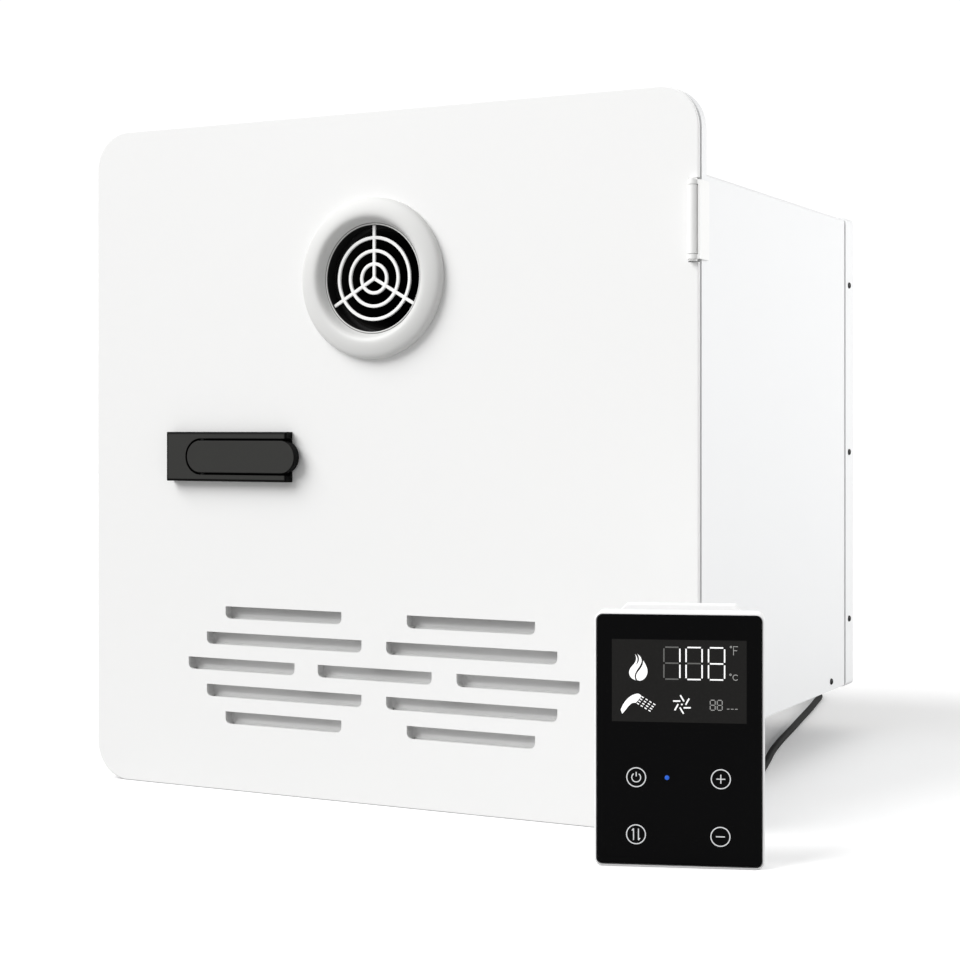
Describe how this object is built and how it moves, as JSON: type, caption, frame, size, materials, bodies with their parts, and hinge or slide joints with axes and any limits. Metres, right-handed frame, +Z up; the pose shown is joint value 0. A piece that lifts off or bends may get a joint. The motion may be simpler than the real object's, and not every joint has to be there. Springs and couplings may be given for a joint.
{
  "type": "rv gas water heater",
  "caption": "Tankless gas water heater for a caravan wall: hinged louvred door with exhaust ring and pull latch, deep metal casing, wired room controller.",
  "frame": {"origin": "centre of the wall frame's screw pattern, on the frame's rear face, which lies on the outside of the wall", "axes": "+Y into the wall, along the screws; +Z up; +X to the right as seen from outside"},
  "size_m": [0.4338, 0.6086, 0.381],
  "materials": {
    "white_paint": "satin powder coat",
    "zinc_sheet": "galvanised",
    "black_screws": "black oxide",
    "pin_steel": "plain",
    "seal_rubber": "foam",
    "ring_plastic": "satin",
    "latch_plastic": "fine texture",
    "burner_steel": "stainless",
    "brass_metal": "plain",
    "copper_metal": "copper",
    "motor_black": "moulded",
    "valve_alloy": "die cast",
    "coil_blue": "moulded",
    "ceramic_white": "glazed",
    "board_green": "potted board",
    "cable_black": "smooth",
    "shell_white": "satin",
    "panel_glass": "polished glass, black behind",
    "lcd_grey": "display"
  },
  "bodies": {
    "heater": {"wall_frame": "white_paint", "casing_wrap": "white_paint", "base_plate": "zinc_sheet", "rear_cover": "white_paint", "casing_screws": "black_screws", "strike_plate": "zinc_sheet", "hinge_frame_leaves": "white_paint", "hinge_pins": "pin_steel", "chassis_legs": "zinc_sheet", "burner_box": "zinc_sheet", "burner_bars": "burner_steel", "gas_manifold": "brass_metal", "exchanger_shell": "copper_metal", "exchanger_fins": "copper_metal", "exchanger_tubes": "copper_metal", "flue_hood": "zinc_sheet", "exhaust_spigot": "burner_steel", "spigot_seal": "seal_rubber", "fan_housing": "burner_steel", "fan_motor": "motor_black", "gas_valve": "valve_alloy", "gas_solenoids": "coil_blue", "gas_pipe": "brass_metal", "gas_inlet": "brass_metal", "cold_inlet": "brass_metal", "flow_sensor": "motor_black", "cold_pipe": "copper_metal", "hot_outlet": "brass_metal", "igniter": "ceramic_white", "flame_sensor": "ceramic_white", "spark_module": "motor_black", "control_tray": "motor_black", "control_board": "board_green", "wire_loom": "cable_black", "overheat_switch": "motor_black", "power_gland": "cable_black", "lead_gland": "cable_black", "lead_heater_end": "cable_black", "lead_coil": "cable_black", "lead_controller_end": "cable_black", "coil_tie": "cable_black", "controller_shell": "shell_white", "controller_glass": "panel_glass", "controller_lcd": "lcd_grey", "controller_board": "board_green", "controller_bracket": "shell_white", "controller_relief": "cable_black"},
    "door": {"door_panel": "white_paint", "door_seal": "seal_rubber", "hinge_door_leaves": "white_paint", "exhaust_ring": "ring_plastic", "exhaust_grille": "ring_plastic", "ring_retainer": "zinc_sheet", "latch_base": "latch_plastic", "latch_clamp": "zinc_sheet", "latch_pin": "pin_steel", "latch_spring": "pin_steel"},
    "latch": {"latch_lever": "latch_plastic", "latch_hook": "pin_steel"},
    "fan": {"fan_impeller": "burner_steel"}
  },
  "joints": [
    {"name": "door_swing", "type": "hinge", "parent": "heater", "child": "door", "pos_m": [0.188, -0.0125, 0], "axis": [0, 0, 1], "range_deg": [0, 60]},
    {"name": "latch_pull", "type": "hinge", "parent": "door", "child": "latch", "pos_m": [-0.1114, -0.0148, 0], "axis": [0, 0, -1], "range_deg": [0, 40], "stiffness_Nm_per_rad": 0.12, "springref_deg": -22.92},
    {"name": "fan_spin", "type": "hinge", "parent": "heater", "child": "fan", "pos_m": [0, 0.195, -0.1155], "axis": [0, 1, 0], "continuous": true}
  ]
}
